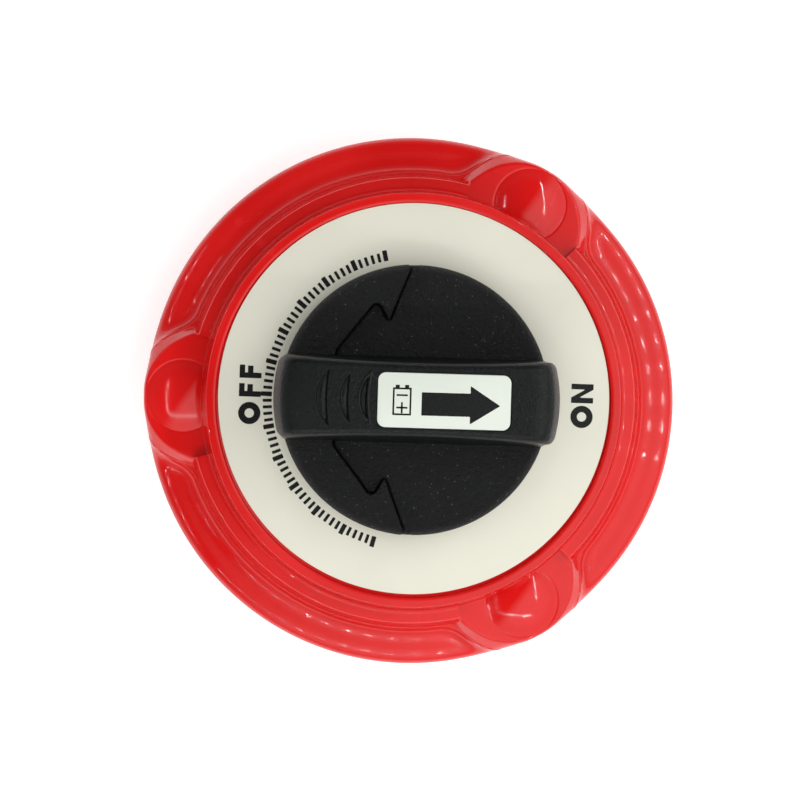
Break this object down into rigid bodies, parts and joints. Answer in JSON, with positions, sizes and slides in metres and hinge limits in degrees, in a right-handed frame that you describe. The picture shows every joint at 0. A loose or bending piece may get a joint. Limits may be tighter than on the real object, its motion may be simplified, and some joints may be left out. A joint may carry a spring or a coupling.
{
  "type": "battery switch",
  "caption": "Round marine rotary battery switch with a red flanged cover, cream dial and black knob with a white arrow label.",
  "frame": {"origin": "centre of the mounting plane at the housing's back, on the knob's axis", "axes": "+Z out of the dial along the knob's axis, +X towards the ON mark and the arrow at rest, +Y up when the dial is seen with ON at the right"},
  "size_m": [0.133, 0.133, 0.08],
  "materials": {
    "red_gloss_plastic": "glossy",
    "cream_label": "satin",
    "black_textured_plastic": "fine grain",
    "white_label": "glossy",
    "black_phenolic": "satin",
    "white_nylon": "satin",
    "black_rubber": "matte",
    "copper": "bare, satin",
    "brass": "machined",
    "stainless_steel": "brushed"
  },
  "bodies": {
    "switch_body": {"housing": "red_gloss_plastic", "dial_label": "cream_label", "base_plate": "black_phenolic", "base_seal": "black_rubber", "thrust_washer": "white_nylon", "terminal_stud_1": "copper", "terminal_stud_2": "copper", "clamp_washer_1": "stainless_steel", "clamp_washer_2": "stainless_steel", "clamp_nut_1": "stainless_steel", "clamp_nut_2": "stainless_steel", "terminal_washer_1": "stainless_steel", "terminal_washer_2": "stainless_steel", "lock_washer_1": "stainless_steel", "lock_washer_2": "stainless_steel", "terminal_nut_1": "stainless_steel", "terminal_nut_2": "stainless_steel", "case_screw_1": "stainless_steel", "case_screw_2": "stainless_steel", "case_screw_3": "stainless_steel", "mount_insert_1": "brass", "mount_insert_2": "brass", "mount_insert_3": "brass"},
    "selector": {"rotor": "white_nylon", "rotor_insert": "brass", "shaft_seal": "black_rubber", "contact_bridge": "copper", "contact_spring_1": "stainless_steel", "contact_spring_2": "stainless_steel", "contact_spring_3": "stainless_steel", "detent_spring_1": "stainless_steel", "detent_spring_2": "stainless_steel", "knob": "black_textured_plastic", "knob_label": "white_label", "knob_washer": "stainless_steel", "knob_screw": "stainless_steel"},
    "detent_1": {"detent_ball_1": "stainless_steel"},
    "detent_2": {"detent_ball_2": "stainless_steel"}
  },
  "joints": [
    {"name": "knob_turn", "type": "hinge", "parent": "switch_body", "child": "selector", "pos_m": [0, 0, 0.028], "axis": [0, 0, 1], "range_deg": [0, 180]},
    {"name": "ball_slide_1", "type": "slide", "parent": "selector", "child": "detent_1", "axis": [0, 0, 1], "range_m": [0, 0.0008], "stiffness_N_per_m": 2000, "springref_m": 0.0015, "deforming": ["detent_spring_1"]},
    {"name": "ball_slide_2", "type": "slide", "parent": "selector", "child": "detent_2", "axis": [0, 0, 1], "range_m": [0, 0.0008], "stiffness_N_per_m": 2000, "springref_m": 0.0015, "deforming": ["detent_spring_2"]}
  ]
}
